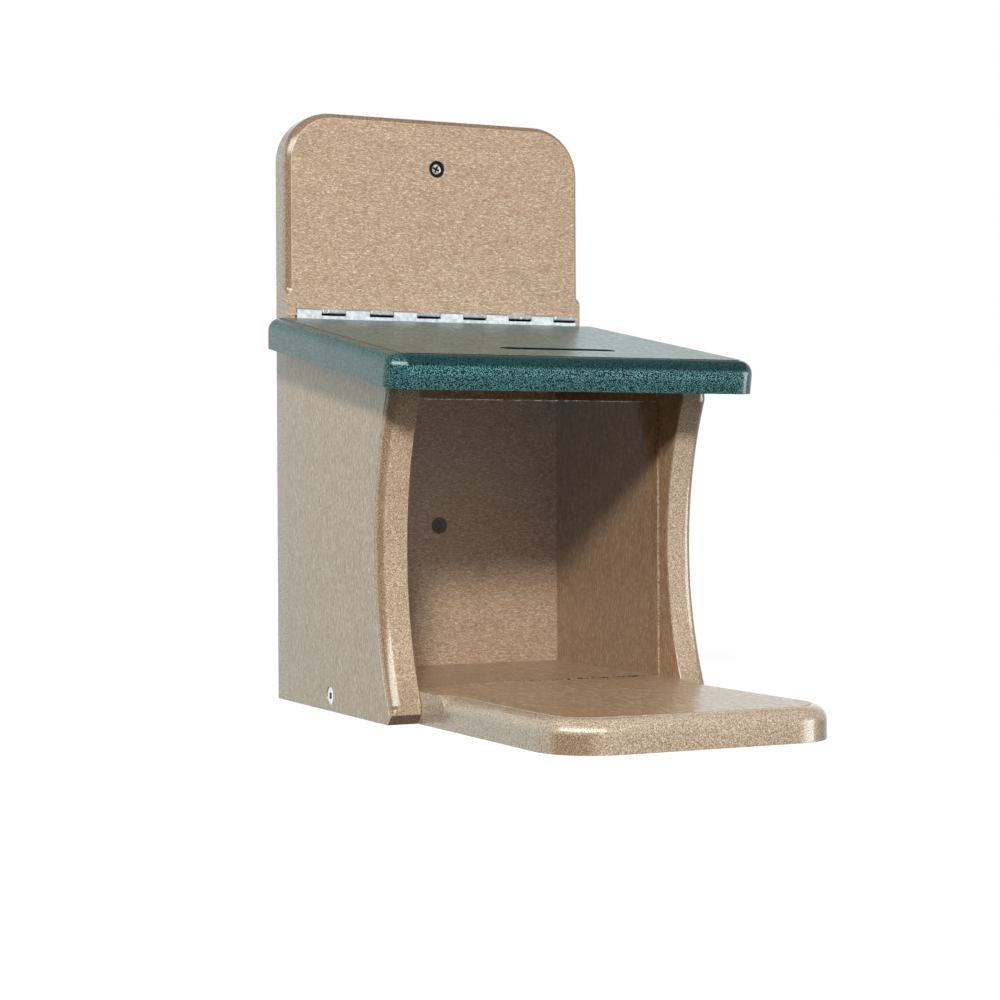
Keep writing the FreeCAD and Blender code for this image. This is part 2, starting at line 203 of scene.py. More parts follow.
def tan_board(name, grain, axis, faces, arris_highlight_reach=ARRIS_HIGHLIGHT_REACH, stretch=(1, 1, 1),
              skin_relief=1.0, painted_face_shades=(PLAIN, PLAIN), painted_edge_light=PLAIN):
    """Tan board with its flecks along grain and its two faces at these places on axis."""
    finish, tree, shader, place = new_finish(name)
    dashes = grains(tree, place, drawn_out(DASH_SIZE, grain, stretch),
                    detail=1.0, wave=1.2, roughness=0.6)
    smears = grains(tree, place, drawn_out(SMEAR_SIZE, grain, stretch),
                    detail=1.5, wave=1.5, roughness=0.6)
    cloud = grains(tree, place, drawn_out(CLOUD_SIZE, grain), wave=0.3)
    dots = grains(tree, place, [DOT_SIZE] * 3, detail=1.0, wave=0.2, roughness=0.6)

    face = blend_colours(tree, step_up(tree, smears, *SMEAR_FADE), TAN, TAN_BROWN)
    pale = maths(tree, "MULTIPLY", step_up(tree, dashes, *DASH_FADE), DASH_SHARE)
    face = blend_colours(tree, pale, face, TAN_PALE)
    face = tinted(tree, face, tone(tree, maths(tree, "MULTIPLY_ADD", dots, *DOT_SHADE)))
    # Painted shade on a face, as on the floor board's top and the panels' inner faces.
    for at, tint in zip(faces, painted_face_shades):
        face = blend_colours(tree, near(tree, place, axis, at, FACE_SHADE_REACH), face,
                             tinted(tree, face, tint))

    edge = blend_colours(tree, step_up(tree, dots, *PALE_DOT_FADE), CORE, CORE_PALE)
    edge = blend_colours(tree, step_up(tree, dots, *BROWN_DOT_FADE), edge, CORE_BROWN)
    # Painted light: sawn and routed edges may be paled by a cool tint, as on the floor and right
    # panel.
    edge = tinted(tree, edge, painted_edge_light)
    # Painted shade: askew surfaces, as on round-overs, mouldings and bevels, are darkened.
    edge = blend_colours(tree, curved(tree, axis == "Z"), edge, tinted(tree, edge, ASKEW_SHADE))
    # Painted highlight: a pale line along each arris, where light catches the edge next to a face.
    arris_highlight = near_faces(tree, place, axis, faces, arris_highlight_reach)
    edge = blend_colours(tree, maths(tree, "MULTIPLY", arris_highlight, ARRIS_HIGHLIGHT_SHARE), edge, ARRIS_HIGHLIGHT)

    skin = near_faces(tree, place, axis, faces, SKIN_REACH)
    colour = blend_colours(tree, skin, edge, face)
    colour = tinted(tree, colour, tone(tree, maths(tree, "MULTIPLY_ADD", cloud, *CLOUD_SHADE)))
    tree.links.new(colour, shader.inputs["Base Color"])
    roughness = maths(tree, "MULTIPLY_ADD", skin, SKIN_ROUGHER, CORE_ROUGHNESS)
    roughness = maths(tree, "MULTIPLY_ADD", dots, DOTS_ROUGHER, roughness)
    tree.links.new(roughness, shader.inputs["Roughness"])
    relief = maths(tree, "MULTIPLY", maths(tree, "MULTIPLY", dashes, skin), skin_relief)
    relief = maths(tree, "MULTIPLY_ADD", dots, DOTS_RELIEF, relief)
    bump(tree, shader, relief, strength=0.5, depth=0.09 * MM, edge=0.35 * MM)
    shader.inputs["IOR"].default_value = TAN_IOR
    return finish


def wear(obj, finish):
    """Give a piece one finish all over."""
    obj.data.materials.clear()
    obj.data.materials.append(finish)


low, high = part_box("floor_platform")
wear(nodes["floor_platform"],
     tan_board("tan floor board", "X", "Z", (low[2], high[2]), stretch=(1, 12, 1),
               skin_relief=4.0, painted_face_shades=(PLAIN, FLOOR_TOP_SHADE), painted_edge_light=FLOOR_EDGE_SHEEN))

# The back board: one upright board of the same stock. Its upper front edge has a moulding from the
# same router bit, set shallow, and two countersunk holes lie on its centre line.

LOWER_HOLE_HEIGHT = 84.35 * MM
HOLE_MOUTH = 4.4 * MM
HOLE_ROUGHNESS = 0.9
COUNTERSINK_DEPTH = (0.05 * MM, 0.3 * MM)
COUNTERSINK_SHADE = (0.58, 0.45, 0.37, 1)
THROAT_DEPTH = (2.7 * MM, 3.6 * MM)
THROAT_SHADE = (0.01, 0.01, 0.01, 1)


def feed(finish, name):
    """A socket of a finish's shader, and what feeds it."""
    tree = finish.node_tree
    shader = next(node for node in tree.nodes if node.type == "BSDF_PRINCIPLED")
    socket = shader.inputs[name]
    return socket, socket.links[0].from_socket


def off_centre(tree, parts, height):
    """Distance from the line that runs from front to back at a height, in the box's middle."""
    rise = maths(tree, "SUBTRACT", parts["Z"], height)
    across = maths(tree, "MULTIPLY", parts["X"], parts["X"])
    return maths(tree, "SQRT", maths(tree, "MULTIPLY_ADD", rise, rise, across))


def bored(finish, height, mouth, face):
    """Paint shade into a countersunk hole at a height, bored from a face that looks forward."""
    tree = finish.node_tree
    parts = split(tree, own_place(tree))
    within = maths(tree, "LESS_THAN", off_centre(tree, parts, height), mouth)
    cone = maths(tree, "MULTIPLY", within,
                 step_up(tree, parts["Y"], *[face + depth for depth in COUNTERSINK_DEPTH]))
    throat = step_up(tree, parts["Y"], *[face + depth for depth in THROAT_DEPTH])
    shade = blend_colours(tree, throat, COUNTERSINK_SHADE, THROAT_SHADE)
    socket, colour = feed(finish, "Base Color")
    tree.links.new(blend_colours(tree, cone, colour, tinted(tree, colour, shade)), socket)
    socket, roughness = feed(finish, "Roughness")
    rough_cone = maths(tree, "MULTIPLY", cone, HOLE_ROUGHNESS)
    tree.links.new(maths(tree, "MAXIMUM", roughness, rough_cone), socket)


low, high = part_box("back_board")
back_finish = tan_board("tan back board", "X", "Y", (low[1], high[1]), arris_highlight_reach=0.22 * MM)
bored(back_finish, LOWER_HOLE_HEIGHT, HOLE_MOUTH, low[1])
wear(nodes["back_board"], back_finish)

# The two side panels stand on end between the back board and the front. Their front edges are
# scooped out and rounded over on the outside, and a groove inside each takes the clear sheet.

# Painted shade on the panels' inner faces, which lie in the box's shade.
INSIDE_SHADE = (0.78, 0.68, 0.58, 1)
# Painted cool light on the right panel's sawn and routed edges.
RIGHT_EDGE_LIGHT = (1.06, 1.11, 1.18, 1)

for side, painted_face_shades, painted_edge_light in (("left", (PLAIN, INSIDE_SHADE), PLAIN),
                               ("right", (INSIDE_SHADE, PLAIN), RIGHT_EDGE_LIGHT)):
    low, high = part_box(side + "_side_panel")
    wear(nodes[side + "_side_panel"],
         tan_board("tan " + side + " panel", "Z", "X", (low[0], high[0]), stretch=(1, 1, 1.7),
                   painted_face_shades=painted_face_shades, painted_edge_light=painted_edge_light))

# Zinc-plated deck screws hold the boards together: three through the back board into each side,
# two into the floor, and one low on each side into the floor's edge.

ZINC = (0.82, 0.82, 0.81, 1)
ZINC_DULL = (0.58, 0.58, 0.56, 1)
# Painted shade in crevices is near black.
CREVICE_SHADE = (0.012, 0.013, 0.015, 1)
CREVICE_SHADE_FADE = (0.12, 0.55)
COAT_CLOUD = [0.9 * MM] * 3
COAT_FADE = (0.35, 0.65)
COAT_ROUGHER = 0.18
COAT_SCRATCH = [0.12 * MM, 0.5 * MM, 0.12 * MM]


def plated(name, colour, dull, roughness, metallic=1.0, crevice_shade_reach=0.0):
    """Bright plated metal, faintly clouded and scratched; crevices that near get painted shade."""
    finish, tree, shader, place = new_finish(name)
    cloud = grains(tree, place, COAT_CLOUD, detail=3.0)
    scratches = grains(tree, place, COAT_SCRATCH)
    coat = blend_colours(tree, step_up(tree, cloud, *COAT_FADE), dull, colour)
    if crevice_shade_reach:
        # Painted shade: near black where the metal is closed in, as in crevices.
        crevice = add(tree, "ShaderNodeAmbientOcclusion", {"Distance": crevice_shade_reach}, samples=6)
        open_air = step_up(tree, crevice.outputs["AO"], *CREVICE_SHADE_FADE)
        coat = blend_colours(tree, open_air, CREVICE_SHADE, coat)
    tree.links.new(coat, shader.inputs["Base Color"])
    tree.links.new(maths(tree, "MULTIPLY_ADD", cloud, COAT_ROUGHER, roughness),
                   shader.inputs["Roughness"])
    bump(tree, shader, scratches, strength=0.2, depth=0.02 * MM, edge=0.15 * MM)
    shader.inputs["Metallic"].default_value = metallic
    return finish


zinc = plated("bright zinc", ZINC, ZINC_DULL, roughness=0.18, metallic=0.8, crevice_shade_reach=4 * MM)
for name in ("left_floor_screw", "right_floor_screw", "left_side_rear_screws",
             "right_side_rear_screws", "floor_rear_screws"):
    wear(nodes[name], zinc)

# The screw that hangs the box on its post goes through the upper hole and stands out behind. Its
# countersunk head has a cross recess, and its rolled thread runs from the board down to the point.

HEAD_TURN = math.radians(22)
SHANK_CUT = 0.5 * MM
THREAD_SETBACK = 1.0 * MM
THREAD_ROOT = 1.45 * MM
THREAD_CREST = 2.05 * MM
THREAD_PITCH = 1.8 * MM
THREAD_STEPS = 24
THREAD_FORM = ((THREAD_ROOT, 0.0), (THREAD_CREST, 0.42), (THREAD_CREST, 0.52),
               (THREAD_ROOT, 0.94), (THREAD_ROOT, 1.0))
BOLT_POINT = 5.0 * MM
BOLT_TIP = 0.04
YELLOW_ZINC = (0.90, 0.90, 0.86, 1)
YELLOW_ZINC_DULL = (0.45, 0.46, 0.40, 1)
# Painted shade on the screw head, near black, with a blotchy edge.
SCREW_HEAD_SHADE = (0.020, 0.019, 0.012, 1)
HEAD_SHADE_BLOTCH = [1.1 * MM] * 3
HEAD_SHADE_WAVER = 0.8 * MM
HEAD_SHADE_RIM = (2.5 * MM, 2.9 * MM)
HEAD_SHADE_RECESS = (0.25 * MM, 0.6 * MM)
HEAD_SHADE_END = (4.0 * MM, 3.5 * MM)

bolt_low, bolt_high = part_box("upper_mounting_screw")
rear_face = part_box("back_board")[1][1]
bolt_height = (bolt_low[2] + bolt_high[2]) / 2

bolt = bmesh.new()
bolt.from_mesh(nodes["upper_mounting_screw"].data)
bmesh.ops.remove_doubles(bolt, verts=bolt.verts[:], dist=0.001 * MM)
bmesh.ops.bisect_plane(bolt, geom=bolt.verts[:] + bolt.edges[:] + bolt.faces[:],
                       dist=0.0001 * MM, plane_co=(0, rear_face - SHANK_CUT, 0),
                       plane_no=(0, 1, 0), clear_outer=True)
bmesh.ops.holes_fill(bolt, edges=[edge for edge in bolt.edges if edge.is_boundary], sides=0)
bmesh.ops.rotate(bolt, verts=bolt.verts[:], cent=(0, 0, bolt_height),
                 matrix=Matrix.Rotation(HEAD_TURN, 3, "Y"))

thread_start = rear_face - THREAD_SETBACK
turns = int((bolt_high[1] - thread_start) / THREAD_PITCH) - 1
last_ring = thread_start + (turns + 1) * THREAD_PITCH
spare = bolt_high[1] - last_ring
thread = bmesh.new()
corners = [thread.verts.new((reach, thread_start + share * THREAD_PITCH, 0))
           for reach, share in THREAD_FORM]
ribs = [thread.edges.new(pair) for pair in zip(corners, corners[1:])]
bmesh.ops.spin(thread, geom=corners + ribs, cent=(0, 0, 0), axis=(0, 1, 0),
               angle=math.tau * turns, dvec=(0, THREAD_PITCH / THREAD_STEPS, 0),
               steps=THREAD_STEPS * turns, use_merge=False)
bmesh.ops.remove_doubles(thread, verts=thread.verts[:], dist=0.005 * MM)
for vert in thread.verts:
    taper = min(max((last_ring - vert.co.y) / BOLT_POINT, BOLT_TIP), 1.0)
    vert.co.x *= taper
    vert.co.z *= taper
    vert.co.y += (vert.co.y - thread_start) / (last_ring - thread_start) * spare
bmesh.ops.holes_fill(thread, edges=[edge for edge in thread.edges if edge.is_boundary], sides=0)
bmesh.ops.recalc_face_normals(thread, faces=thread.faces[:])
bmesh.ops.translate(thread, verts=thread.verts[:], vec=(0, 0, bolt_height))
thread_mesh = bpy.data.meshes.new("thread")
thread.to_mesh(thread_mesh)
thread.free()
bolt.from_mesh(thread_mesh)
bpy.data.meshes.remove(thread_mesh)
bolt_mesh = bpy.data.meshes.new("mounting_screw")
bolt.to_mesh(bolt_mesh)
bolt.free()
mounting_screw = bpy.data.objects.new("mounting_screw", bolt_mesh)
bpy.context.scene.collection.objects.link(mounting_screw)

bolt_finish = plated("yellowed zinc", YELLOW_ZINC, YELLOW_ZINC_DULL, roughness=0.12, metallic=0.5)
bolt_tree = bolt_finish.node_tree
bolt_place = own_place(bolt_tree)
bolt_parts = split(bolt_tree, bolt_place)
# Painted shade: the head's rim, shaded by the countersink, and its cross recess are near black.
blotches = grains(bolt_tree, bolt_place, HEAD_SHADE_BLOTCH, detail=1.0)
radius = maths(bolt_tree, "MULTIPLY_ADD", blotches, HEAD_SHADE_WAVER,
               off_centre(bolt_tree, bolt_parts, bolt_height))
rim = step_up(bolt_tree, radius, *HEAD_SHADE_RIM)
recess = step_up(bolt_tree, bolt_parts["Y"], *[bolt_low[1] + depth for depth in HEAD_SHADE_RECESS])
head = step_up(bolt_tree, bolt_parts["Y"], *[bolt_low[1] + depth for depth in HEAD_SHADE_END])
head_shade = maths(bolt_tree, "MULTIPLY", maths(bolt_tree, "MAXIMUM", rim, recess), head)
bolt_socket, bolt_coat = feed(bolt_finish, "Base Color")
bolt_tree.links.new(blend_colours(bolt_tree, head_shade, bolt_coat, SCREW_HEAD_SHADE), bolt_socket)
wear(mounting_screw, bolt_finish)
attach(mounting_screw, "box")
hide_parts("upper_mounting_screw")

# The clear front sheet, cut from cast acrylic and slid down the grooves, so it can be lifted out
# for cleaning. Its faces are polished. A broken painted highlight runs along its top edge, and a
# broken painted shadow along its foot.

ACRYLIC = (0.965, 0.945, 0.925, 1)
ACRYLIC_SHADOW = (0.95, 0.942, 0.934, 1)
ACRYLIC_IOR = 1.45
HAZE_SIZE = [6 * MM] * 3
HAZE_ROUGHNESS = 0.03
# A painted glint for the top edge and a painted shadow for the foot.
SAWN_EDGE_GLINT = (0.90, 0.95, 1.0, 1)
FOOT_SHADOW = (0.02, 0.025, 0.035, 1)
CHIP_SIZE = [1.2 * MM] * 3
HEAD_LINE = (0.45 * MM, 0.25 * MM)
HEAD_CHIPS = (0.46, 0.64)
FOOT_LINE = (0.6 * MM, 0.4 * MM)
FOOT_CHIPS = (0.50, 0.58)
FOOT_REACH = (-40 * MM, 15 * MM)


def clear_sheet(name, foot_height, head_height):
    """Clear acrylic that lets light by, a chipped painted glint on top and shadow at the foot."""
    finish, tree, shader, place = new_finish(name)
    shader.inputs["Base Color"].default_value = ACRYLIC
    shader.inputs["Transmission Weight"].default_value = 1.0
    shader.inputs["IOR"].default_value = ACRYLIC_IOR
    haze = grains(tree, place, HAZE_SIZE, detail=3.0)
    tree.links.new(maths(tree, "MULTIPLY", haze, HAZE_ROUGHNESS), shader.inputs["Roughness"])

    # A ray that came through the sheet counts as glossy too, so those are taken off.
    through = add(tree, "ShaderNodeBsdfTransparent", {"Color": ACRYLIC_SHADOW})
    path = add(tree, "ShaderNodeLightPath").outputs
    mirrored = maths(tree, "SUBTRACT", path["Is Glossy Ray"], path["Is Transmission Ray"],
                     clamp=True)
    lets_by = maths(tree, "MAXIMUM", path["Is Shadow Ray"], path["Is Diffuse Ray"])
    lets_by = maths(tree, "MAXIMUM", lets_by, mirrored)
    sheet = add(tree, "ShaderNodeMixShader",
                {0: lets_by, 1: shader.outputs["BSDF"], 2: through.outputs["BSDF"]})

    parts = split(tree, place)
    chips = grains(tree, place, CHIP_SIZE, detail=3.0, roughness=0.7)
    # Painted highlight: a chipped mirror-bright strip along the top edge.
    head = maths(tree, "MULTIPLY",
                 step_up(tree, parts["Z"], *[head_height - fade for fade in HEAD_LINE]),
                 step_up(tree, chips, *HEAD_CHIPS))
    # Painted shadow: a chipped dark strip along the foot, more towards the right.
    foot = maths(tree, "MULTIPLY",
                 step_up(tree, parts["Z"], *[foot_height + fade for fade in FOOT_LINE]),
                 step_up(tree, chips, *FOOT_CHIPS))
    foot = maths(tree, "MULTIPLY", foot, step_up(tree, parts["X"], *FOOT_REACH))
    glint_and_shadow = add(tree, "ShaderNodeBsdfPrincipled",
               {"Base Color": blend_colours(tree, foot, SAWN_EDGE_GLINT, FOOT_SHADOW),
                "Metallic": 0.9, "Roughness": 0.30})
    surface = add(tree, "ShaderNodeMixShader", {0: maths(tree, "MAXIMUM", head, foot),
                  1: sheet.outputs["Shader"], 2: glint_and_shadow.outputs["BSDF"]})
    output = next(node for node in tree.nodes if node.type == "OUTPUT_MATERIAL")
    tree.links.new(surface.outputs["Shader"], output.inputs["Surface"])
    return finish


pane_low, pane_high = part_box("front_pane")
wear(nodes["front_pane"], clear_sheet("clear acrylic", pane_low[2], pane_high[2]))

# The roof lid: one thicker board of dark green, sloping to the front and rounded over on three
# sides, with a long closed slot near the front. Its pale flecks show most on the routed edges.

GREEN = (0.008, 0.052, 0.058, 1)
GREEN_PALE = (0.300, 0.740, 0.740, 1)
GREEN_DEEP = (0.001, 0.010, 0.012, 1)
GREEN_SKIN = (0.085, 0.185, 0.160, 1)
GREEN_CREASE_SHADE = (0.030, 0.020, 0.012, 1)
GREEN_IOR = 1.42
GREEN_DOT = [0.23 * MM] * 3
GREEN_PALE_FADE = (0.52, 0.58)
GREEN_DEEP_FADE = (0.50, 0.42)
GREEN_GRAIN = [0.62 * MM, 2.4 * MM, 2.4 * MM]
GREEN_GRAIN_FADE = (0.48, 0.58)
GREEN_GRAIN_RELIEF = 6.0
GREEN_CLOUD = [9 * MM] * 3
GREEN_ROUGHNESS = 0.12
GREEN_SKIN_ROUGHER = 0.14
GREEN_CLOUD_ROUGHER = 0.06
ROOF_SLOPE = math.radians(9.5)
SLOT_SETBACK = 36.0 * MM
SLOT_OFFSET = 5.5 * MM
SLOT_REACH = (29.3 * MM, 4.3 * MM)
SLOT_MOUTH = (0.05 * MM, 0.15 * MM)
CREASE_DEPTH = 0.055 * MM
CREASE_REACH = 0.025 * MM
CREASE_END = (14 * MM, 9 * MM)
CREASE_ROUGHER = 0.3
LAYER_SIZE = [15 * MM, 15 * MM, 6 * MM]
LAYER_WAVER = 1.0 * MM

# Shares of pale flecks: near the top, more below that, fewer at the foot, and on the left edge.
FLECKS_TOP = 0.02
FLECKS_MORE = 0.48
FLECKS_MIDDLE = (4.3 * MM, 6.1 * MM)
FLECKS_LESS = -0.20
FLECKS_FOOT = (9.0 * MM, 10.2 * MM)
FLECKS_LEFT = 0.24
LEFTWARD_FADE = (-0.05, -0.45)


def green_board(name, faces, front, left):
    """Dark green board that slopes, with its two faces, front and left end at these places."""
    finish, tree, shader, place = new_finish(name)
    level = add(tree, "ShaderNodeMapping", {"Vector": place, "Rotation": (-ROOF_SLOPE, 0, 0)})
    level = level.outputs["Vector"]
    spot = split(tree, level)
    depth = maths(tree, "SUBTRACT", faces[1], spot["Z"])
    skin = near_faces(tree, level, "Z", faces, SKIN_REACH)
    dots = grains(tree, place, GREEN_DOT, detail=0.5, wave=0.5, roughness=0.6)
    cloud = grains(tree, place, GREEN_CLOUD)
    layers = grains(tree, level, LAYER_SIZE, detail=1.0)
    grain = grains(tree, level, GREEN_GRAIN, detail=1.0)

    strata = maths(tree, "MULTIPLY_ADD", layers, LAYER_WAVER, depth)
    share = maths(tree, "MULTIPLY_ADD", step_up(tree, strata, *FLECKS_MIDDLE), FLECKS_MORE,
                  FLECKS_TOP)
    share = maths(tree, "MULTIPLY_ADD", step_up(tree, strata, *FLECKS_FOOT), FLECKS_LESS, share)
    facing = split(tree, add(tree, "ShaderNodeTexCoord").outputs["Normal"])
    leftward = step_up(tree, facing["X"], *LEFTWARD_FADE)
    share = maths(tree, "MULTIPLY_ADD", leftward, maths(tree, "SUBTRACT", FLECKS_LEFT, share),
                  share)
    pale = maths(tree, "MULTIPLY", step_up(tree, dots, *GREEN_PALE_FADE), share)
    colour = blend_colours(tree, step_up(tree, dots, *GREEN_DEEP_FADE), GREEN, GREEN_DEEP)
    colour = blend_colours(tree, pale, colour, GREEN_PALE)

    # Painted shade: the slot's inner walls get the darkest green.
    across = maths(tree, "COMPARE", spot["X"], SLOT_OFFSET, SLOT_REACH[0])
    along = maths(tree, "COMPARE", spot["Y"], front + SLOT_SETBACK, SLOT_REACH[1])
    inside = maths(tree, "MULTIPLY", across, along)
    inside = maths(tree, "MULTIPLY", inside, step_up(tree, depth, *SLOT_MOUTH))
    colour = blend_colours(tree, inside, colour, GREEN_DEEP)
    # Painted shade: a thin dark brown line along the crease where the left round-over leaves the
    # top.
    crease = maths(tree, "COMPARE", depth, CREASE_DEPTH, CREASE_REACH)
    crease = maths(tree, "MULTIPLY", crease,
                   step_up(tree, spot["X"], *[left + fade for fade in CREASE_END]))
    crease = maths(tree, "SUBTRACT", crease, inside, clamp=True)
    colour = blend_colours(tree, crease, colour, GREEN_CREASE_SHADE)
    speckle = maths(tree, "MULTIPLY", step_up(tree, grain, *GREEN_GRAIN_FADE), skin)
    colour = blend_colours(tree, speckle, colour, GREEN_SKIN)
    tree.links.new(colour, shader.inputs["Base Color"])

    roughness = maths(tree, "MULTIPLY_ADD", skin, GREEN_SKIN_ROUGHER, GREEN_ROUGHNESS)
    roughness = maths(tree, "MULTIPLY_ADD", crease, CREASE_ROUGHER, roughness)
    roughness = maths(tree, "MULTIPLY_ADD", cloud, GREEN_CLOUD_ROUGHER, roughness)
    tree.links.new(roughness, shader.inputs["Roughness"])
    relief = maths(tree, "MULTIPLY_ADD", maths(tree, "MULTIPLY", grain, skin),
                   GREEN_GRAIN_RELIEF, maths(tree, "MULTIPLY", dots, DOTS_RELIEF))
    bump(tree, shader, relief, strength=0.6, depth=0.06 * MM, edge=0.35 * MM)
    shader.inputs["IOR"].default_value = GREEN_IOR
    return finish


lid = nodes["roof_lid"]
lid_turn = Matrix.Rotation(-ROOF_SLOPE, 3, "X")
lid_points = [lid_turn @ vert.co for vert in lid.data.vertices]
lid_heights = [point.z for point in lid_points]
wear(lid, green_board("dark green board", (min(lid_heights), max(lid_heights)),
                      min(point.y for point in lid_points), min(point.x for point in lid_points)))

# The piano hinge, stamped and curled from thin bright metal: two leaves with six knuckles each on
# one pin. One leaf is screwed to the back board and the other to the lid's rear edge.

# Painted shade: the board leaf is the lid leaf's metal painted a little darker.
BOARD_LEAF_SHADED = (0.80, 0.83, 0.87, 1)
BOARD_LEAF_SHADED_DULL = (0.60, 0.62, 0.66, 1)
LID_LEAF = (0.86, 0.89, 0.93, 1)
LID_LEAF_DULL = (0.64, 0.67, 0.71, 1)
KNUCKLE_TOP_REFLECTION = (0.30, 0.34, 0.39, 1)
KNUCKLE_REFLECTION_DEPTH = 1.1 * MM
KNUCKLE_REFLECTION_FADE = 0.5 * MM
PIN = (0.30, 0.30, 0.31, 1)
PIN_DULL = (0.18, 0.18, 0.19, 1)
# Painted shade in a band below the pin, on the board leaf.
SHADE_BAND_TOP = 0.35
SHADE_BAND_FADE = 0.3 * MM
SHADE_BAND_FOOT = (2.4 * MM, 1.8 * MM)


def shaded(finish, colour, height, reach, rising):
    """Blend a finish to another colour above a height, or in a band below it, within reach."""
    tree = finish.node_tree
    level = split(tree, own_place(tree))["Z"]
    amount = step_up(tree, level, height, height + (reach if rising else -reach))
    if not rising:
        foot = step_up(tree, level, *[height - fade for fade in SHADE_BAND_FOOT])
        amount = maths(tree, "MULTIPLY", amount, foot)
    socket, coat = feed(finish, "Base Color")
    tree.links.new(blend_colours(tree, amount, coat, colour), socket)


pin_low, pin_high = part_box("hinge_pin")
pin_height = (pin_low[2] + pin_high[2]) / 2
knuckle_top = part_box("hinge_lid_leaf")[1][2]
knuckle_radius = knuckle_top - pin_height
board_metal = plated("hinge metal behind", BOARD_LEAF_SHADED, BOARD_LEAF_SHADED_DULL, roughness=0.16,
                     metallic=0.6, crevice_shade_reach=3 * MM)
# Painted shade: a near black band below the knuckles, in the gap between the leaves.
shaded(board_metal, CREVICE_SHADE, pin_height - SHADE_BAND_TOP * knuckle_radius, SHADE_BAND_FADE, rising=False)
wear(nodes["hinge_board_leaf"], board_metal)
lid_metal = plated("hinge metal", LID_LEAF, LID_LEAF_DULL, roughness=0.30, metallic=0.45,
                   crevice_shade_reach=2 * MM)
# Painted reflection: the lid leaf's knuckle tops are grey-blue, as they mirror the dim room above.
shaded(lid_metal, KNUCKLE_TOP_REFLECTION, knuckle_top - KNUCKLE_REFLECTION_DEPTH, KNUCKLE_REFLECTION_FADE, rising=True)
wear(nodes["hinge_lid_leaf"], lid_metal)
wear(nodes["hinge_pin"], plated("pin steel", PIN, PIN_DULL, roughness=0.25))
for name in ("hinge_board_screws", "hinge_lid_screws"):
    wear(nodes[name], zinc)

# The studio floor: a large sheet of white paper that keeps the box's shadow. Where the camera sees
# it, it also glows by itself, a little more far off, so that it is white with no more light on the
# box. Gloss doesn't mirror it.

FLOOR_REACH = 3.0
FLOOR_GREYS = ((0.15, 0.15, 0.15, 1), (0.17, 0.17, 0.17, 1))
FLOOR_GRAIN = [2 * MM] * 3
FLOOR_GLOW = 0.92
FLOOR_GLOW_MORE = 0.08
FLOOR_GLOW_FADE = (0.35, 1.3)


def seen_plainly(tree):
    """The light path, and 1 where the camera looks here straight or through the clear sheet."""
    path = add(tree, "ShaderNodeLightPath").outputs
    return path, maths(tree, "MAXIMUM", path["Is Camera Ray"], path["Is Transmission Ray"])


ground = bmesh.new()
bmesh.ops.create_grid(ground, x_segments=1, y_segments=1, size=FLOOR_REACH)
ground_mesh = bpy.data.meshes.new("studio_floor")
ground.to_mesh(ground_mesh)
ground.free()
studio_floor = bpy.data.objects.new("studio_floor", ground_mesh)
bpy.context.scene.collection.objects.link(studio_floor)
paper, paper_tree, paper_shader, paper_place = new_finish("white paper")
paper_grain = grains(paper_tree, paper_place, FLOOR_GRAIN)
paper_tree.links.new(blend_colours(paper_tree, paper_grain, *FLOOR_GREYS),
                     paper_shader.inputs["Base Color"])
paper_shader.inputs["Roughness"].default_value = 0.9
paper_shader.inputs["Specular IOR Level"].default_value = 0.0
paper_shader.inputs["Emission Color"].default_value = PLAIN
distance = add(paper_tree, "ShaderNodeVectorMath", {0: paper_place}, operation="LENGTH")
far_off = step_up(paper_tree, distance.outputs["Value"], *FLOOR_GLOW_FADE)
glow = maths(paper_tree, "MULTIPLY_ADD", far_off, FLOOR_GLOW_MORE, FLOOR_GLOW)
path, seen = seen_plainly(paper_tree)
paper_tree.links.new(maths(paper_tree, "MULTIPLY", glow, seen),
                     paper_shader.inputs["Emission Strength"])
wear(studio_floor, paper)
studio_floor.visible_glossy = False

# The room, which gloss and metal alone mirror, because the world is white to the eye. It is dim in
# front, pale behind up to a height that comes a little lower at the left, and brightest straight
# behind. A bright wall stands at the front right, and a screen hangs high at the front left.

REARWARD = (0.433, 0.901, 0.0)
WALL_WAY = (0.841, -0.541, 0.0)
WALL_FADE = (0.962, 0.974)
WALL_GLOW = 9.0

# A fade is where it starts and ends on one part of a direction, and a band has a fade at each end.
RIGHT_FADE = (-0.15, 0.15)
ROOM_BAND = (-0.75, -0.35, 0.42, 0.60)
ROOM_LEFT_FADE = (0.58, 0.46)
ROOM_LEFT_SHARE = 0.5
ROOM_DIM = 0.35
ROOM_PALE = 0.65
ROOM_PALE_FADE = (-0.4, 0.3)
ROOM_BRIGHT = 0.30
ROOM_BRIGHT_FADE = (0.80, 0.95)
ROOM_TINTS = ((0.90, 1.0, 0.98, 1), (0.94, 1.0, 1.0, 1))
SCREEN_BAND = (0.28, 0.42, 0.62, 0.78)
SCREEN_RIGHT_FADE = (0.12, -0.05)
SCREEN_REAR_FADE = (0.15, -0.05)
SCREEN_GLOW = 13.0
LEAST_GLOW = 0.10


def band(tree, value, rise_low, rise_high, fall_low, fall_high):
    """1 between two fades, else 0."""
    return maths(tree, "MULTIPLY", step_up(tree, value, fall_high, fall_low),
                 step_up(tree, value, rise_low, rise_high))


def along_way(tree, way, other):
    """How far a direction looks along another way."""
    return add(tree, "ShaderNodeVectorMath", {0: way, 1: other},
               operation="DOT_PRODUCT").outputs["Value"]


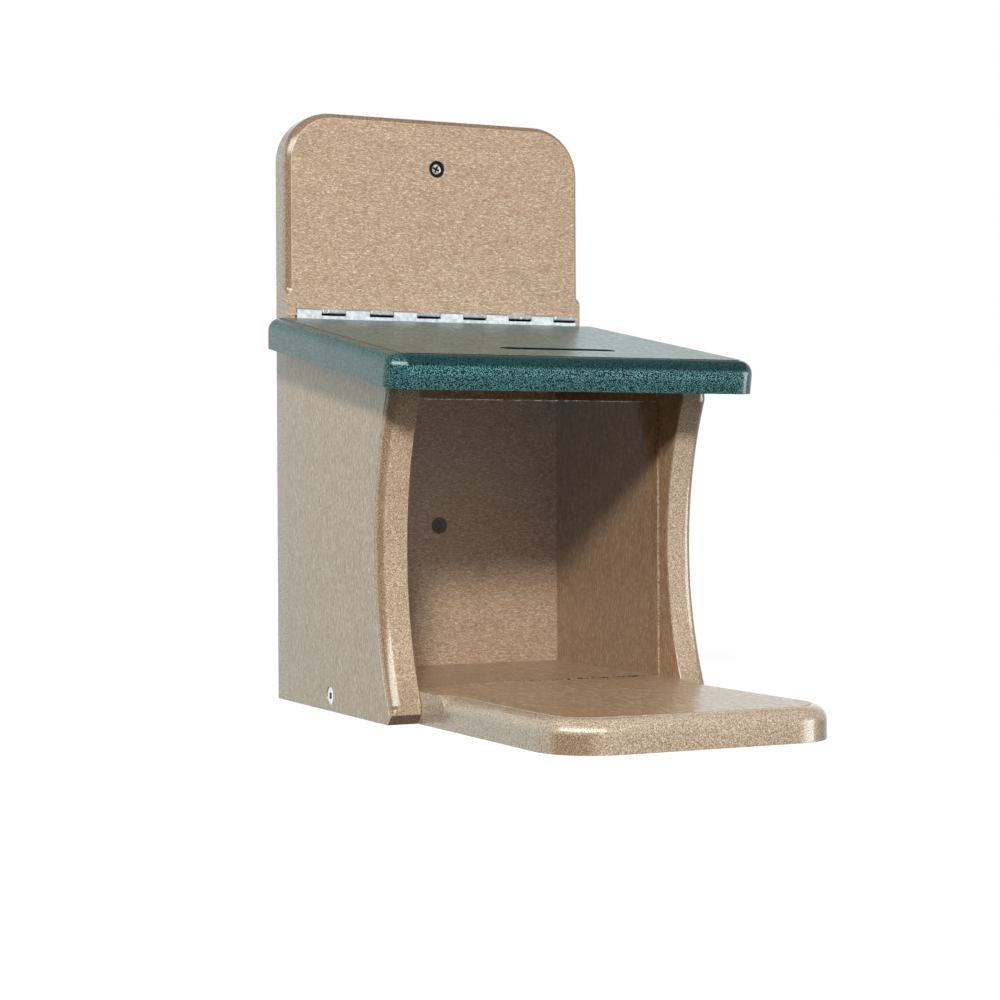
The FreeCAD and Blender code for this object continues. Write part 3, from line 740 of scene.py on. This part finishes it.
world = bpy.data.worlds.new("studio")
bpy.context.scene.world = world
world.use_nodes = True
sky = world.node_tree
sky.nodes.clear()
way = add(sky, "ShaderNodeTexCoord").outputs["Generated"]
way_parts = split(sky, way)
behind = along_way(sky, way, REARWARD)
rightward = step_up(sky, way_parts["X"], *RIGHT_FADE)
lower_down = maths(sky, "MULTIPLY_ADD", step_up(sky, way_parts["Z"], *ROOM_LEFT_FADE),
                   ROOM_LEFT_SHARE, 1 - ROOM_LEFT_SHARE)
low_down = maths(sky, "MULTIPLY", band(sky, way_parts["Z"], *ROOM_BAND),
                 maths(sky, "MAXIMUM", lower_down, rightward))
room = maths(sky, "MULTIPLY", step_up(sky, behind, *ROOM_PALE_FADE), low_down)
room = maths(sky, "MULTIPLY_ADD", room, ROOM_PALE, ROOM_DIM)
bright = maths(sky, "MULTIPLY", step_up(sky, behind, *ROOM_BRIGHT_FADE), low_down)
room = maths(sky, "MULTIPLY_ADD", bright, ROOM_BRIGHT, room)
wall = step_up(sky, along_way(sky, way, WALL_WAY), *WALL_FADE)
room = maths(sky, "MULTIPLY_ADD", wall, WALL_GLOW, room)
screen = band(sky, way_parts["Z"], *SCREEN_BAND)
screen = maths(sky, "MULTIPLY", screen, step_up(sky, way_parts["X"], *SCREEN_RIGHT_FADE))
screen = maths(sky, "MULTIPLY", screen, step_up(sky, way_parts["Y"], *SCREEN_REAR_FADE))
room = maths(sky, "MULTIPLY_ADD", screen, SCREEN_GLOW, room)
path, seen = seen_plainly(sky)
mirrored = maths(sky, "SUBTRACT", path["Is Glossy Ray"], seen, clamp=True)
level = maths(sky, "MAXIMUM", seen, maths(sky, "MULTIPLY", mirrored, room))
level = maths(sky, "MAXIMUM", level, LEAST_GLOW)
tint = blend_colours(sky, mirrored, PLAIN, blend_colours(sky, rightward, *ROOM_TINTS))
backdrop = add(sky, "ShaderNodeBackground", {"Color": tint, "Strength": level})
add(sky, "ShaderNodeOutputWorld", {"Surface": backdrop.outputs["Background"]})

# The lamps: a small key high at the front left, which casts the shadow, fills at the front and
# left, and a strip and a board at the right and behind. They light the box and aren't mirrored. A
# large pale board at the back left is only mirrored.

LAMP_AIM = Vector((0.0, 0.0, 0.12))


def lamp(name, way, distance, width, height, power, colour, mirrored=False):
    """Soft rectangular lamp, aimed at the box, that either lights it or is mirrored in it."""
    light = bpy.data.lights.new(name, "AREA")
    light.shape = "RECTANGLE"
    light.size = width
    light.size_y = height
    light.energy = power
    light.color = colour
    obj = bpy.data.objects.new(name, light)
    bpy.context.scene.collection.objects.link(obj)
    way = Vector(way).normalized()
    turn = (-way).to_track_quat("-Z", "Y").to_matrix().to_4x4()
    obj.matrix_world = Matrix.Translation(LAMP_AIM + way * distance) @ turn
    obj.visible_camera = False
    obj.visible_glossy = mirrored
    obj.visible_diffuse = not mirrored


lamp("key", (-0.71, -1.287, 0.756), distance=1.65, width=0.18, height=0.18, power=27.2,
     colour=(1.0, 0.98, 0.95))
lamp("front_fill", (0.25, -1.0, 0.05), distance=1.4, width=0.8, height=0.8, power=2.4,
     colour=(1.0, 0.94, 0.86))
lamp("back_left_board", (-0.43, 0.90, 0.0), distance=1.3, width=0.9, height=0.9, power=0.9,
     colour=(0.97, 1.0, 0.92), mirrored=True)
lamp("left_fill", (-1.0, 0.10, 0.45), distance=1.3, width=0.7, height=0.7, power=3.0,
     colour=(0.76, 0.97, 1.0))
lamp("right_strip", (0.951, -0.309, 0.0), distance=1.3, width=0.16, height=0.9, power=5.0,
     colour=(1.0, 1.0, 1.0))
lamp("rear_board", (0.55, 0.84, 0.05), distance=1.3, width=0.7, height=0.7, power=8.0,
     colour=(1.0, 0.99, 0.97))

# The camera stands in front of the box and to its left, just below the roof, and looks down a
# little. Its angles are in degrees, and its lens and sensor in millimetres.

CAMERA_PLACE = (-0.4589715, -0.9118387, 0.1072235)
CAMERA_AZIMUTH = -25.635
CAMERA_DIP = 0.5193
CAMERA_ROLL = -0.2603
CAMERA_LENS = 80.59
CAMERA_SENSOR = 36.0

camera_data = bpy.data.cameras.new("camera")
camera_data.lens = CAMERA_LENS
camera_data.sensor_width = CAMERA_SENSOR
camera = bpy.data.objects.new("camera", camera_data)
bpy.context.scene.collection.objects.link(camera)
camera.matrix_world = (
    Matrix.Translation(CAMERA_PLACE)
    @ Matrix.Rotation(math.radians(CAMERA_AZIMUTH), 4, "Z")
    @ Matrix.Rotation(math.radians(90.0 - CAMERA_DIP), 4, "X")
    @ Matrix.Rotation(math.radians(CAMERA_ROLL), 4, "Z")
)
bpy.context.scene.camera = camera
bpy.context.scene.view_settings.view_transform = "Standard"
